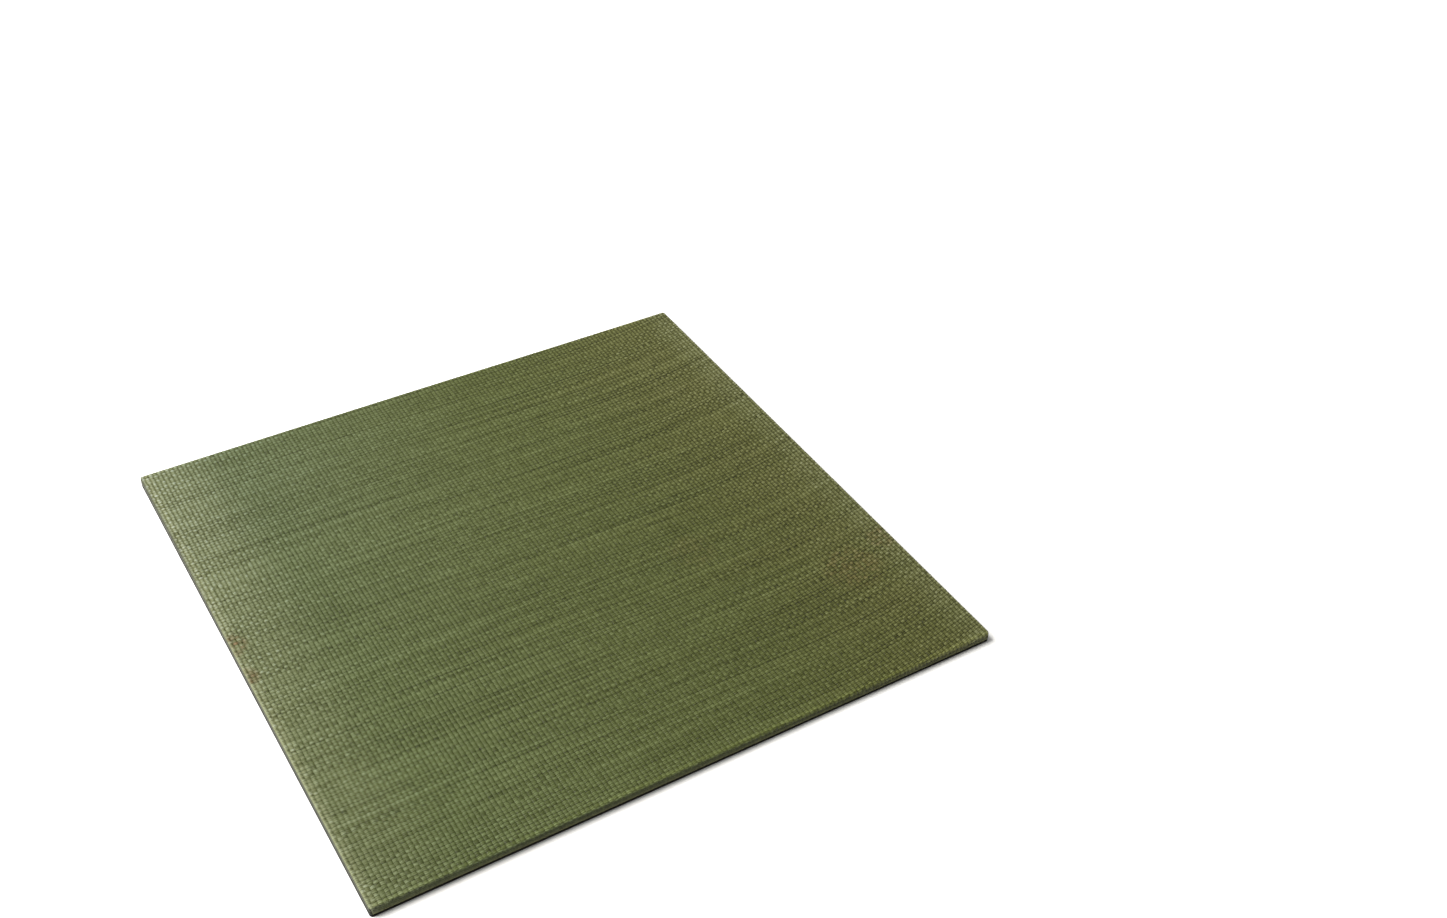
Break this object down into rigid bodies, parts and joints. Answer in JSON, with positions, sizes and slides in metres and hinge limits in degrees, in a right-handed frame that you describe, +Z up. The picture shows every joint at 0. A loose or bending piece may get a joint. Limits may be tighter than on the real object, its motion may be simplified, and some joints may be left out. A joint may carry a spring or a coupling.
{
  "type": "tatami mat",
  "caption": "Borderless square tatami mat that lies on a floor: ribbed woven rush pulled over a thin board, with a black non-slip backing sheet.",
  "frame": {"origin": "On the floor, under the middle of the mat, on the underside of the backing sheet.", "axes": "+Z up, out of the woven face. +X along the rush strands, +Y along the warp cords and their ribs. The near side in the picture is -Y and the bright left side is -X."},
  "size_m": [0.82, 0.82, 0.015],
  "materials": {
    "rush": "woven green rush, olive with paler and browner strands, satin sheen along the strands",
    "backing": "black non-slip backing, matt with a fine pebbled face"
  },
  "bodies": {
    "root": {"rush_facing": "rush", "backing_sheet": "backing"}
  },
  "joints": []
}
